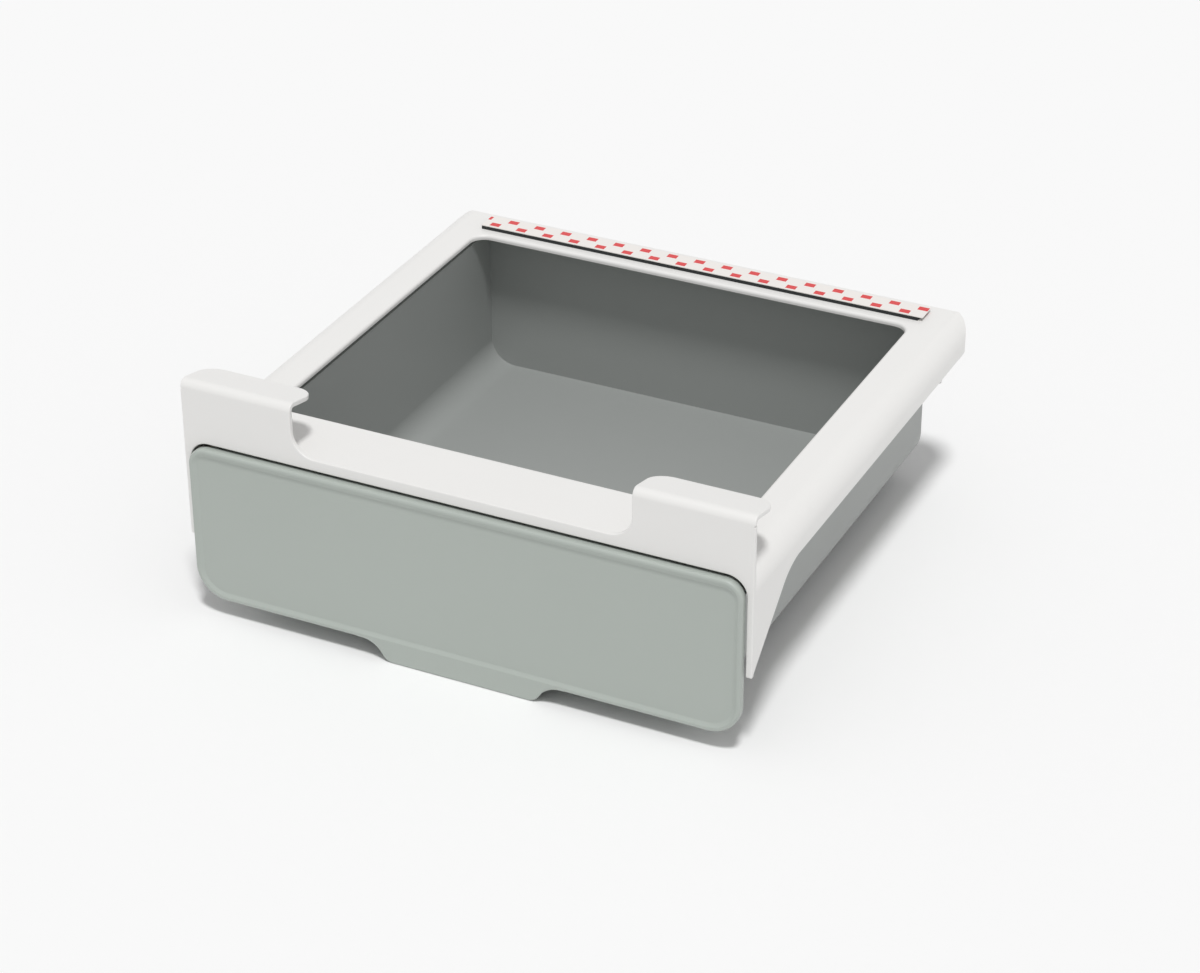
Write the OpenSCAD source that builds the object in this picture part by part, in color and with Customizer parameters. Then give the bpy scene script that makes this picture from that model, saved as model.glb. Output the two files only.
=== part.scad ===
// Under-shelf drawer: a frame hooks over the front edge of a shelf and is stuck to its underside,
// and an open tray with a front panel slides in it.
// Millimetres. X is right, Y is back, Z is up. The origin is at the centre of the footprint, level
// with the lower edge of the finger pull.

/* [Frame] */
// Width across the front plate and the side rails
frame_w = 235; // [225:1:270]
// Depth of the frame behind its front face
frame_d = 222; // [205:1:280]
// Thickness of the frame's moulded walls
frame_wall = 2; // [1.6:0.1:2.4]
// Width of the top of each side rail
rail_w = 19.5; // [19:0.5:24]
// Radius along the outer top edge of each side rail
rail_round = 9.5; // [7:0.5:11]
// Depth of the front bar, from the front face to the top opening
front_bar = 32.5; // [26:0.5:45]
// Depth of the rear crossbar
rear_bar = 21.2; // [19:0.2:30]
// Height of the skirt round the frame, below its top face
skirt_h = 14.5; // [13.5:0.5:20]
// Radius of the rear corners, seen from above
rear_corner = 10; // [4:0.5:10]
// Radius along the rear top edge
rear_round = 2.5; // [1:0.5:4]
// Radius in the corners of the top opening
opening_corner = 6.5; // [3:0.5:10]

/* [Front plate and hooks] */
// Height of the plate's band, from the front opening to the frame's top face
plate_band = 2.8; // [2.2:0.2:6]
// Height of the plate's middle above the frame's top face
plate_rise = 1.8; // [0.6:0.2:4]
// Gap for the shelf, from the frame's top face to the hook's underside at the bend
shelf_gap = 20.6; // [16:0.2:30]
// Width of each hook
hook_w = 47.5; // [30:0.5:60]
// Reach of each hook behind the front face
hook_reach = 20; // [14:0.5:26]
// Downward slope of the hooks' flanges, in degrees
hook_slope = 12.4; // [4:0.2:14]
// Outer radius of the bend at the top of each hook
hook_bend = 3; // [2.6:0.2:5]
// Radius of the flanges' rear corners
hook_corner = 8; // [3:0.5:10]
// Radius of the fillet between each hook and the plate's middle
hook_root = 9.5; // [4:0.5:14]
// Radius of the small relief at the outer end of each bend
hook_relief = 0.5; // [0.3:0.1:0.8]
// Thickness of the side wings, which is the width of the plate's legs
wing_t = 2.5; // [2:0.1:3]
// Depth of the legs below the frame's top face
leg_drop = 44.1; // [36:0.5:56]
// Depth behind the front face at which a wing's slope meets the skirt
wing_run = 34.4; // [28:0.2:48]
// Radius of the blend between a wing's slope and the skirt
wing_blend = 20; // [8:1:30]
// Length of the flat end of each leg
leg_toe = 0.8; // [0.5:0.1:2]

/* [Front panel] */
// Height of the front panel without its finger pull
panel_h = 65.6; // [58:0.2:80]
// How far the front panel stands out of the frame
panel_proud = 3; // [2:0.5:6]
// Depth of the panel's edge, from its front to its back
panel_d = 8; // [7:0.5:12]
// Wall of the panel's moulding
panel_wall = 2.2; // [1.8:0.1:2.6]
// Radius of the panel's lower corners
panel_corner = 13; // [9:0.5:18]
// Radius of the panel's upper corners
panel_top_corner = 7.5; // [5:0.5:18]
// Gap between the panel's sides and the plate's legs
panel_gap_side = 0.5; // [0.3:0.1:1]
// Gap between the panel's top and the plate's band
panel_gap_top = 1; // [0.5:0.1:2]
// Width of the raised bead round the panel
bead_w = 3.6; // [3:0.2:5]
// Height of the raised bead, which is also the radius of its outer edge
bead_h = 1; // [0.5:0.1:1.4]
// Width of the bead's flat crest
bead_crest = 0.5; // [0.2:0.1:1]
// How hollow the bead's inner slope is, from 0 for a straight slope
bead_cove = 0.35; // [0:0.05:0.8]
// Depth of the finger pull below the panel
pull_drop = 8; // [6:0.5:14]
// Width of the finger pull's straight lower edge
pull_w = 60; // [40:1:90]
// Width of the curve at each end of the finger pull
pull_flare = 12.5; // [6:0.5:16]
// Thickness of the finger pull
pull_t = 3; // [2:0.1:4]

/* [Tray] */
// Thickness of the tray's side, front and rear walls
tray_wall = 2; // [1.4:0.1:2.6]
// Thickness of the tray's floor
tray_floor = 2; // [1.4:0.1:2.6]
// Outer radius of the tray's long bottom corners
tray_round = 13; // [8:0.5:18]
// Height of the tray's underside above the panel's lower edge
tray_lift = 0.4; // [0.2:0.1:4]
// How far the frame's top opening laps over the tray's inside
rim_cover = 0.4; // [0.2:0.1:1]
// Width of the slide flange along each side of the tray
flange_w = 6; // [5:0.2:6.4]
// Thickness of the slide flange
flange_t = 2; // [1.6:0.1:2.4]
// How far the drawer slides out
travel = 165; // [120:1:168]

/* [Runners] */
// Thickness of the ledge that carries the slide flange
ledge_t = 3.6; // [3.2:0.1:4.4]
// Thickness of the runner's web and foot
runner_wall = 2; // [1.6:0.1:2.2]
// Sliding clearance over and under the flange
slide_gap = 0.3; // [0.2:0.05:0.5]
// Side clearance of the tray and its flange in the runner
side_gap = 0.8; // [0.6:0.1:1.2]
// Depth of the groove for the tray's stop lug
groove_d = 1.8; // [1.4:0.1:2.2]
// Width of the groove
groove_w = 2.4; // [2:0.1:3]

/* [Screws] */
// Diameter of the screws' shanks
shank_d = 2.4; // [2:0.1:2.8]
// Diameter of the screws' heads
head_d = 5.2; // [4.6:0.1:5.6]
// Height of the pan heads under the runners
pan_h = 1.6; // [1.2:0.1:1.8]
// Depth to which a runner's screw enters its boss
runner_bite = 5.5; // [4:0.5:6]
// Depth to which a panel's screw enters its boss
panel_bite = 4; // [3:0.5:4.5]

/* [Adhesive strip] */
// Length of the foam tape
foam_len = 198; // [150:1:200]
// Width of the tape
foam_w = 10; // [8:0.5:16]
// Thickness of the foam tape
foam_t = 1.5; // [1:0.1:2]
// Thickness of the release liner
liner_t = 0.3; // [0.2:0.05:0.5]
// Length of the liner's pull tab past the foam
liner_tab = 2; // [1:0.5:6]

/* [Hidden] */

frame_colour = "#ECECEA";
panel_colour = "#AEB5AF";
tray_colour = "#9C9F9B";
runner_colour = "#F4F2EC";
foam_colour = "#26292A";
liner_colour = "#E6E2DE";
screw_colour = "#B9BCC0";

// Segments in a full circle, large and small, and steps in a drawn curve
$fn = 96;
small_fn = 40;
curve_steps = 10;

// Overrun of every cut, and the depth to which joined shapes run into each other
cut = 1;
weld = 0.2;

// Heights
panel_z = pull_drop;
panel_top_z = panel_z + panel_h;
aperture_top_z = panel_top_z + panel_gap_top;
ring_top_z = aperture_top_z + plate_band;
ceiling_z = ring_top_z - frame_wall;
plate_top_z = ring_top_z + plate_rise;
hook_top_z = ring_top_z + shelf_gap + frame_wall;
bend_z = hook_top_z - hook_bend;
skirt_z = ring_top_z - skirt_h;
leg_z = ring_top_z - leg_drop;
tray_z = panel_z + tray_lift;
rim_z = panel_top_z;

// Places along the depth
front_y = (panel_proud - frame_d) / 2;
rear_y = front_y + frame_d;
opening_y0 = front_y + front_bar;
opening_y1 = rear_y - rear_bar;
panel_y0 = front_y - panel_proud;
panel_face_y = panel_y0 + bead_h;
panel_y1 = panel_y0 + panel_d;
stop_gap = 0.3;
stop_rib_d = 4.7;
tray_y0 = panel_y1;
tray_y1 = rear_y - frame_wall - stop_rib_d - stop_gap;

// Half widths
half_w = frame_w / 2;
opening_half = half_w - rail_w;
tray_in_half = opening_half + rim_cover;
tray_half = tray_in_half + tray_wall;
flange_half = tray_half + flange_w;
web_half = flange_half + side_gap;
foot_half = web_half + runner_wall;
foot_gap = 0.3;
foot_w = half_w - max(frame_wall, wing_t) - foot_gap - foot_half;
aperture_half = half_w - wing_t;
panel_half = aperture_half - panel_gap_side;

// The runner's levels, from the flange down
flange_z = rim_z - flange_t;
ledge_top_z = flange_z - slide_gap;
hold_down_z = rim_z + slide_gap;
foot_drop = 4.7;
foot_top_z = ledge_top_z - foot_drop;
web_gap = 0.5;

// The runner's length, its stop and its screws
runner_set_back = 4;
runner_y0 = front_y + frame_wall + runner_set_back;
runner_y1 = tray_y1;
lug_len = 4;
lug_set_in = 2;
lug_y1 = tray_y1 - lug_set_in;
lug_y0 = lug_y1 - lug_len;
groove_y0 = lug_y0 - travel;
lug_clear = 0.3;
runner_screw_shares = [0.12, 0.5, 0.88];
runner_screw_y = [for (s = runner_screw_shares) runner_y0 + s * (runner_y1 - runner_y0)];
pilot_clear = 0.1;
pilot_spare = 0.6;
hole_clear = 0.4;
boss_wall = 1.4;
boss_d = shank_d + pilot_clear + 2 * boss_wall;
boss_x = foot_half + foot_w / 2;

// Ribs inside the frame
rib_t = 1.6;
hold_down_t = 1.5;
stop_rib_shares = [-0.75, -0.25, 0.25, 0.75];
nub_l = 1.6;
nub_h = 1;
nub_share = 0.842;

// The panel's screws and bosses, as shares of the tray's half width and of the panel's height
panel_screw_x_share = 0.6;
panel_screw_z_shares = [0.27, 0.73];
panel_screw_z = [for (s = panel_screw_z_shares) panel_z + s * panel_h];
panel_screw_x = panel_screw_x_share * tray_half;
csk_h = (head_d - shank_d) / 2;
recess_d = 0.8;
recess_l = head_d / 2;
recess_w = 0.7;
panel_rib_shares = [-0.8, -0.2, 0.2, 0.8];

// The adhesive strip, set a little to the right, as its liner's tab is there
foam_shift = 0.6;
foam_front = 4.9;
foam_x0 = foam_shift - foam_len / 2;
foam_y0 = opening_y1 + foam_front;

// A smooth step from 0 to 1, and the points of an arc about a centre
function ease(t) = t * t * (3 - 2 * t);
function arc(c, r, a0, a1) = [for (i = [0:curve_steps]) let (a = a0 + (a1 - a0) * i / curve_steps)
    c + r * [cos(a), sin(a)]];

// Outline with a flat base on Y = 0 and rounded upper corners, centred on X = 0
module arch(w, h, r) {
    translate([-w / 2, 0]) square([w, h - r]);
    translate([-w / 2 + r, 0]) square([w - 2 * r, h]);
    for (s = [-1, 1]) translate([s * (w / 2 - r), h - r]) circle(r = r);
}

// Rectangle with lower corners of radius r and upper ones of top_r, from its lower left corner
module rounded(w, h, r, top_r) {
    translate([r, 0]) square([w - 2 * r, h - top_r]);
    translate([top_r, r]) square([w - 2 * top_r, h - r]);
    translate([0, r]) square([w, h - r - top_r]);
    for (x = [r, w - r]) translate([x, r]) circle(r = r);
    for (x = [top_r, w - top_r]) translate([x, h - top_r]) circle(r = top_r);
}

// Extrude an outline drawn in X and Z from y0 to y1
module along_y(y0, y1) {
    translate([0, y1, 0]) rotate([90, 0, 0]) linear_extrude(y1 - y0) children();
}

// Extrude an outline drawn in Y and Z from x0 to x1
module along_x(x0, x1) {
    translate([x0, 0, 0]) rotate([90, 0, 90]) linear_extrude(x1 - x0) children();
}

// Cylinder along Y from y0 to y1
module rod_y(r, y0, y1) {
    translate([0, y1, 0]) rotate([90, 0, 0]) cylinder(r = r, h = y1 - y0, $fn = small_fn);
}

// The frame's lid shape: rounded along both sides, along the rear edge and at the rear corners.
// inset moves every face inwards, and z0 is the level of its open underside.
module lid(inset, y0, z0) {
    w = frame_w - 2 * inset;
    y1 = rear_y - inset;
    top = ring_top_z - inset;
    side_r = rail_round - inset;
    edge_r = max(rear_round - inset, weld);
    corner_r = rear_corner - inset;
    intersection() {
        translate([0, 0, z0]) along_y(y0, y1) arch(w, top - z0, side_r);
        along_x(-w / 2, w / 2) union() {
            translate([y0, z0]) square([y1 - edge_r - y0, top - z0]);
            translate([y0, z0]) square([y1 - y0, top - z0 - edge_r]);
            translate([y1 - edge_r, top - edge_r]) circle(r = edge_r);
        }
        translate([0, 0, z0]) linear_extrude(top - z0)
            translate([0, y0]) arch(w, y1 - y0, corner_r);
    }
}

// Shell of the top ring: front bar, side rails, rear crossbar and their skirt
module ring() {
    difference() {
        lid(0, front_y, skirt_z);
        lid(frame_wall, front_y + frame_wall, skirt_z - cut);
        translate([-opening_half, opening_y0, skirt_z]) linear_extrude(skirt_h + cut)
            rounded(2 * opening_half, opening_y1 - opening_y0, opening_corner, opening_corner);
        translate([0, front_y - cut, 0]) along_y(0, frame_wall + 2 * cut)
            aperture();
    }
}

// The opening in the front plate that the drawer passes through
module aperture() {
    corner = panel_top_corner + panel_gap_side;
    translate([0, leg_z - cut]) arch(2 * aperture_half, aperture_top_z - leg_z + cut, corner);
}

// The front plate's outline, with the hooks' uprights and their root fillets
module plate_outline() {
    hook_x0 = half_w - hook_w;
    difference() {
        union() {
            translate([-half_w, leg_z]) square([frame_w, plate_top_z - leg_z]);
            for (s = [-1, 1]) {
                translate([s * (half_w - hook_w / 2) - hook_w / 2, plate_top_z - weld])
                    square([hook_w, bend_z - plate_top_z + weld]);
                difference() {
                    translate([s * (hook_x0 - hook_root / 2) - hook_root / 2 - weld / 2, plate_top_z - weld])
                        square([hook_root + weld, hook_root + weld]);
                    translate([s * (hook_x0 - hook_root), plate_top_z + hook_root]) circle(r = hook_root);
                }
            }
        }
        aperture();
    }
}

// Section of a hook in Y and Z: the bend over the upright and the sloping flange
module hook_section() {
    centre = [hook_bend, bend_z];
    inner = hook_bend - frame_wall;
    along = [cos(hook_slope), -sin(hook_slope)];
    square_on = [sin(hook_slope), cos(hook_slope)];
    end = centre + hook_reach / cos(hook_slope) * along;
    polygon(concat(arc(centre, hook_bend, 180, 90 - hook_slope),
                   [end + hook_bend * square_on, end + inner * square_on],
                   arc(centre, inner, 90 - hook_slope, 180)));
}

// One hook, its flange cut to length with rounded rear corners
module hook() {
    intersection() {
        translate([0, front_y, 0]) along_x(-hook_w / 2, hook_w / 2) hook_section();
        translate([0, front_y, bend_z - hook_reach]) linear_extrude(hook_reach + 2 * hook_bend)
            arch(hook_w, hook_reach, hook_corner);
    }
}

// One side wing: the gusset that stiffens a leg of the plate and runs out into the skirt
module wing() {
    slope = atan((skirt_z - leg_z) / (wing_run - leg_toe));
    run_out = wing_blend * tan(slope / 2);
    top = ring_top_z - rail_round;
    along_x(-wing_t, 0) translate([front_y, 0])
        polygon(concat([[0, top], [0, leg_z], [leg_toe, leg_z]],
                       arc([wing_run + run_out, skirt_z - wing_blend], wing_blend, 90 + slope, 90),
                       [[wing_run + run_out, top]]));
}

// Bosses, hold-down ribs, stop ribs and moulding nubs inside the frame
module frame_inside() {
    boss_z = foot_top_z;
    inside_y = front_y + frame_wall;
    for (s = [-1, 1]) {
        for (y = runner_screw_y) translate([s * boss_x, y, boss_z])
            cylinder(d = boss_d, h = ceiling_z - boss_z, $fn = small_fn);
        translate([s * (tray_half + flange_w / 2) - hold_down_t / 2, inside_y - weld, hold_down_z])
            cube([hold_down_t, tray_y1 - inside_y + weld, ceiling_z - hold_down_z + weld]);
        translate([s * (half_w - frame_wall / 2) - frame_wall / 2, front_y + nub_share * frame_d,
                   skirt_z - nub_h]) cube([frame_wall, nub_l, nub_h + weld]);
    }
    for (k = stop_rib_shares) translate([k * opening_half - rib_t / 2, tray_y1 + stop_gap, skirt_z])
        cube([rib_t, rear_y - frame_wall + weld - tray_y1 - stop_gap, ceiling_z - skirt_z + weld]);
}

module frame() {
    color(frame_colour) difference() {
        union() {
            ring();
            along_y(front_y, front_y + frame_wall) plate_outline();
            for (s = [-1, 1]) translate([s * (half_w - hook_w / 2), 0, 0]) hook();
            translate([half_w, 0, 0]) wing();
            translate([wing_t - half_w, 0, 0]) wing();
            intersection() {
                frame_inside();
                union() {
                    lid(frame_wall / 2, front_y + frame_wall / 2, skirt_z);
                    translate([-half_w, front_y, skirt_z - nub_h]) cube([frame_w, frame_d, nub_h + weld]);
                }
            }
        }
        for (s = [-1, 1]) {
            for (y = runner_screw_y) translate([s * boss_x, y, foot_top_z - cut])
                cylinder(d = shank_d + pilot_clear, h = runner_bite + pilot_spare + cut, $fn = small_fn);
            translate([s * half_w, 0, bend_z - hook_relief]) rod_y(hook_relief, front_y - cut,
                front_y + frame_wall + cut);
        }
    }
}

// Section of the right-hand runner in X and Z: ledge, web and foot
module runner_section() {
    ledge_x0 = tray_half + side_gap;
    translate([ledge_x0, ledge_top_z - ledge_t]) square([foot_half - ledge_x0, ledge_t]);
    translate([web_half, foot_top_z - runner_wall])
        square([runner_wall, ceiling_z - web_gap - foot_top_z + runner_wall]);
    translate([web_half, foot_top_z - runner_wall]) square([runner_wall + foot_w, runner_wall]);
}

module runner_right() {
    groove_x = tray_half + flange_w / 2;
    color(runner_colour) difference() {
        along_y(runner_y0, runner_y1) runner_section();
        translate([groove_x - groove_w / 2, groove_y0 - lug_clear, ledge_top_z - groove_d])
            cube([groove_w, runner_y1 - groove_y0 + lug_clear + cut, groove_d + cut]);
        for (y = runner_screw_y) translate([boss_x, y, foot_top_z - runner_wall - cut])
            cylinder(d = shank_d + hole_clear, h = runner_wall + 2 * cut, $fn = small_fn);
    }
}

module runner_left() {
    mirror([1, 0, 0]) runner_right();
}

// Cross recess cut into a screw's head, along Z from z = 0 up
module cross_recess() {
    for (a = [0, 90]) rotate(a) translate([-recess_l / 2, -recess_w / 2, 0])
        cube([recess_l, recess_w, recess_d]);
}

// Pan-head screw that points up, its head's seat on z = 0
module pan_screw() {
    difference() {
        union() {
            cylinder(d = shank_d, h = runner_wall + runner_bite, $fn = small_fn);
            translate([0, 0, -pan_h]) cylinder(d = head_d, h = pan_h, $fn = small_fn);
        }
        translate([0, 0, -pan_h]) mirror([0, 0, 1]) translate([0, 0, -recess_d]) cross_recess();
    }
}

module runner_screws() {
    color(screw_colour) for (s = [-1, 1], y = runner_screw_y)
        translate([s * boss_x, y, foot_top_z - runner_wall]) pan_screw();
}

module adhesive_foam() {
    color(foam_colour) translate([foam_x0, foam_y0, ring_top_z]) cube([foam_len, foam_w, foam_t]);
}

module release_liner() {
    color(liner_colour) translate([foam_x0, foam_y0, ring_top_z + foam_t])
        cube([foam_len + liner_tab, foam_w, liner_t]);
}

// The tray's trough section in X and Z, from its underside up to the rim
module trough(half, z0, r) {
    h = rim_z - z0;
    translate([0, rim_z]) mirror([0, 1]) arch(2 * half, h, r);
}

// Slide flange of the right-hand side, with the lug that stops the drawer when it is pulled out
module slide_flange() {
    groove_x = tray_half + flange_w / 2;
    lug_w = groove_w - 2 * lug_clear;
    flange_y0 = runner_y0;
    translate([tray_half - weld, flange_y0, flange_z])
        cube([flange_w + weld, tray_y1 - flange_y0, flange_t]);
    translate([groove_x - lug_w / 2, lug_y0, ledge_top_z - groove_d + lug_clear])
        cube([lug_w, lug_len, groove_d - lug_clear + slide_gap + weld]);
}

module tray() {
    floor_top = tray_z + tray_floor;
    color(tray_colour) difference() {
        union() {
            along_y(tray_y0, tray_y1) trough(tray_half, tray_z, tray_round);
            slide_flange();
            mirror([1, 0, 0]) slide_flange();
        }
        along_y(tray_y0 + tray_wall, tray_y1 - tray_wall) union() {
            trough(tray_in_half, floor_top, tray_round - tray_wall);
            translate([-tray_in_half, rim_z - cut]) square([2 * tray_in_half, 2 * cut]);
        }
        for (s = [-1, 1], z = panel_screw_z) translate([s * panel_screw_x, 0, z]) {
            rod_y((shank_d + hole_clear) / 2, tray_y0 - cut, tray_y0 + tray_wall + cut);
            translate([0, tray_y0 + tray_wall, 0]) rotate([90, 0, 0])
                cylinder(d1 = head_d + hole_clear, d2 = shank_d + hole_clear, h = csk_h, $fn = small_fn);
        }
    }
}

// The panel's outline without its pull, set inwards by inset
module panel_outline(inset) {
    translate([inset - panel_half, panel_z + inset])
        rounded(2 * (panel_half - inset), panel_h - 2 * inset, panel_corner - inset,
                panel_top_corner - inset);
}

// The finger pull's outline: a straight lower edge between two smooth flares
module pull_outline() {
    steps = 2 * curve_steps;
    left = [for (i = [0:steps]) let (t = i / steps)
        [-pull_w / 2 - pull_flare * (1 - t), panel_z * (1 - ease(t))]];
    right = [for (i = [steps:-1:0]) [-left[i][0], left[i][1]]];
    over = panel_z + bead_h + bead_crest / 2;
    polygon(concat([[left[0][0], over]], left, right, [[right[steps][0], over]]));
}

// Section of the bead: a quarter-round outer edge, a flat crest and a hollow slope that meets the
// face in a crease. x is the distance from the centre of a corner of radius r, y the height over
// the face.
module bead_section(r) {
    slope_x = r - bead_h - bead_crest;
    run = bead_w - bead_h - bead_crest;
    outer = arc([r - bead_h, 0], bead_h, 0, 90);
    inner = [for (i = [0:curve_steps]) let (t = i / curve_steps)
        [slope_x - run * t, bead_h * (1 - t) * (1 - bead_cove * t)]];
    foot = [[r - bead_w, -weld], [r, -weld]];
    polygon(concat(outer, inner, foot));
}

// The raised bead along the panel's edge: at each corner a quarter turn and one straight run
module bead() {
    for (k = [0:3]) {
        r = k < 2 ? panel_top_corner : panel_corner;
        x = panel_half - r;
        z = k < 2 ? panel_top_z - r : panel_z + r;
        run = k % 2 == 0 ? panel_h - panel_corner - panel_top_corner : 2 * x;
        translate([k % 3 == 0 ? x : -x, panel_face_y, z]) rotate([90, 0, 0]) rotate(90 * k) {
            rotate_extrude(angle = 90) bead_section(r);
            rotate([90, 0, 0]) linear_extrude(run) bead_section(r);
        }
    }
}

// One boss behind the panel's face for a screw from the tray
module panel_boss() {
    rod_y(boss_d / 2, panel_face_y, panel_y1);
}

module front_panel() {
    back_y = panel_face_y + panel_wall;
    rib_z = panel_z + panel_wall - weld;
    color(panel_colour) difference() {
        union() {
            difference() {
                union() {
                    along_y(panel_face_y, panel_y1) panel_outline(0);
                    bead();
                }
                along_y(back_y, panel_y1 + cut) panel_outline(panel_wall);
            }
            along_y(panel_y0, panel_y0 + pull_t) pull_outline();
            for (s = [-1, 1], z = panel_screw_z) translate([s * panel_screw_x, 0, z]) panel_boss();
            for (k = panel_rib_shares) translate([k * tray_half - rib_t / 2, back_y - weld, rib_z])
                cube([rib_t, panel_y1 - back_y + weld, panel_top_z - panel_z - 2 * (rib_z - panel_z)]);
        }
        for (s = [-1, 1], z = panel_screw_z) translate([s * panel_screw_x, 0, z])
            rod_y((shank_d + pilot_clear) / 2, panel_y1 - panel_bite - pilot_spare, panel_y1 + cut);
    }
}

// Countersunk screw along -Y, its flat head flush with the tray's inner face
module flat_screw() {
    head_y = tray_y0 + tray_wall;
    difference() {
        union() {
            rod_y(shank_d / 2, tray_y0 - panel_bite, head_y);
            translate([0, head_y, 0]) rotate([90, 0, 0])
                cylinder(d1 = head_d, d2 = shank_d, h = csk_h, $fn = small_fn);
        }
        translate([0, head_y, 0]) rotate([90, 0, 0]) cross_recess();
    }
}

module panel_screws() {
    color(screw_colour) for (s = [-1, 1], z = panel_screw_z)
        translate([s * panel_screw_x, 0, z]) flat_screw();
}

frame();
runner_left();
runner_right();
runner_screws();
adhesive_foam();
release_liner();
tray();
front_panel();
panel_screws();
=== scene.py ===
# %% [markdown]
# An under-shelf drawer
#
# This lesson dresses a drawer that hangs under a kitchen shelf. The measured model is loaded first
# and isn't moved. The moulded pieces that the eye rests on are then modelled over it with the same
# operators that a hand would use, because a real moulding has softened edges that catch the light,
# and a measured model has none.

# %% Load the measured model
import math
import bmesh
import bpy
from mathutils import Matrix, Vector


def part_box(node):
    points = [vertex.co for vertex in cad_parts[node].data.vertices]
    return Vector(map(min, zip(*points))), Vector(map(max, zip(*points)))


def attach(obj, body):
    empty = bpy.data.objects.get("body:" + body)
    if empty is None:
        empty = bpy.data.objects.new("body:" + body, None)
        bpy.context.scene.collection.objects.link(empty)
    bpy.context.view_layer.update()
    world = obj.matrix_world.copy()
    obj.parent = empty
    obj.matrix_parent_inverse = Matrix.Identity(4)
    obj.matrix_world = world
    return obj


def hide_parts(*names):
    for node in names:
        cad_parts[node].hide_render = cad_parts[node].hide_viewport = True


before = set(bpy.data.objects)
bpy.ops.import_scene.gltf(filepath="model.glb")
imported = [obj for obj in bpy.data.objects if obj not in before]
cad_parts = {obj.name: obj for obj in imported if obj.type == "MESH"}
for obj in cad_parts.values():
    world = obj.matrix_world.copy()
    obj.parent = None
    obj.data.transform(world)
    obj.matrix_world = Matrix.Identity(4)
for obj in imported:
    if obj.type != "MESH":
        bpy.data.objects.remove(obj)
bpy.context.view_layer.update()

# %% [markdown]
# The camera
#
# The photograph looks down on the drawer from its right front. A camera could be placed by eye, but
# here its place was worked out beforehand from the edges of the real object, so it is written as a
# position in millimetres, three turns in degrees and a focal length.

# %% Camera
MM = 0.001
camera_place = Vector((486.2, -988.4, 668.8)) * MM
to_the_side, from_straight_down, roll = 26.0, 90.0 - 30.276, -0.2

camera_data = bpy.data.cameras.new("camera")
camera_data.lens = 95.97
camera_data.sensor_width = 36.0
camera_data.clip_start = 0.05
camera = bpy.data.objects.new("camera", camera_data)
bpy.context.collection.objects.link(camera)
camera.matrix_world = (Matrix.Translation(camera_place)
                       @ Matrix.Rotation(math.radians(to_the_side), 4, "Z")
                       @ Matrix.Rotation(math.radians(from_straight_down), 4, "X")
                       @ Matrix.Rotation(math.radians(roll), 4, "Z"))
bpy.context.scene.camera = camera
print("camera stands", round(camera.location.length, 3), "m from the drawer")

# %% [markdown]
# The lamp
#
# The photograph's shadows show where its one main lamp is: they fall a little to the left and to
# the back, and their edges are soft. A sun lamp that is 9 degrees wide gives the same, like a soft
# box some way off, and it lights the floor evenly. It stands 11 degrees to the right of straight
# above, and 18 degrees to the front.

# %% The lamp
lamp_width, lamp_strength = 9.0, 1.82
lamp_right, lamp_front = math.radians(11.0), math.radians(18.0)

lamp_data = bpy.data.lights.new("soft box", "SUN")
lamp_data.angle = math.radians(lamp_width)
lamp_data.energy = lamp_strength
lamp = bpy.data.objects.new("soft box", lamp_data)
to_lamp = Vector((math.tan(lamp_right), -math.tan(lamp_front), 1.0))
lamp.location = to_lamp
lamp.rotation_euler = to_lamp.to_track_quat("Z", "Y").to_euler()
bpy.context.collection.objects.link(lamp)
print("lamp:", lamp_width, "degrees wide, strength", lamp_strength)

# %% [markdown]
# Nodes, one at a time
#
# The studio's light and every finish are built from nodes. One small function adds any of them
# together with its settings and links. A number, or a name with a capital, is an input of the node,
# and any other name is a setting.

# %% Add a node
def add(tree, kind, settings, links=()):
    node = tree.nodes.new(kind)
    for name, value in settings.items():
        if isinstance(name, int) or name[0].isupper():
            node.inputs[name].default_value = value
        else:
            setattr(node, name, value)
    for name, source in links:
        tree.links.new(source, node.inputs[name])
    return node

# %% [markdown]
# The pale studio
#
# A white world fills in the rest of the light, as the walls of a pale studio do. Straight into the
# camera, and as a mirror image, it is as pale as the floor, so that no grey band shows above the
# floor in a low view. The Light Path node says which kind of ray is asking.

# %% The world's light
fill_strength, backdrop_strength = 0.455, 0.95

world = bpy.data.worlds.new("pale studio")
bpy.context.scene.world = world
world.use_nodes = True
studio = world.node_tree
walls = studio.nodes["Background"]
walls.inputs["Color"].default_value = (1.0, 1.0, 1.0, 1.0)
ray = add(studio, "ShaderNodeLightPath", {})
seen = ray.outputs["Is Camera Ray"]
for kind in ("Is Glossy Ray", "Is Transmission Ray"):
    either = add(studio, "ShaderNodeMath", {"operation": "MAXIMUM"},
                 [(0, seen), (1, ray.outputs[kind])])
    seen = either.outputs["Value"]
strength = add(studio, "ShaderNodeMapRange",
               {"To Min": fill_strength, "To Max": backdrop_strength}, [("Value", seen)])
studio.links.new(strength.outputs["Result"], walls.inputs["Strength"])
print("world: fills with", fill_strength, "and shows as", backdrop_strength)

# %% [markdown]
# The drawer stands on a sweep, a floor that reaches far past the picture. The Standard view shows a
# colour about as it is written.

# %% The floor
floor_size = 8.0

bpy.context.scene.view_settings.view_transform = "Standard"
bpy.ops.object.select_all(action="DESELECT")
bpy.ops.mesh.primitive_plane_add(size=floor_size, location=(0.0, 0.0, 0.0))
floor = bpy.context.object
floor.name = "floor"
print("floor:", floor_size, "m wide")

# %% [markdown]
# Working by hand, in code
#
# Each piece starts as a block of the right size at the right place. Its move and its size are then
# applied, so that the place is in the mesh and the object itself stays at the origin.

# %% Start a block
def settle(name):
    piece = bpy.context.object
    piece.name = piece.data.name = name
    bpy.ops.object.transform_apply(location=True, rotation=True, scale=True)
    return piece

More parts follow.
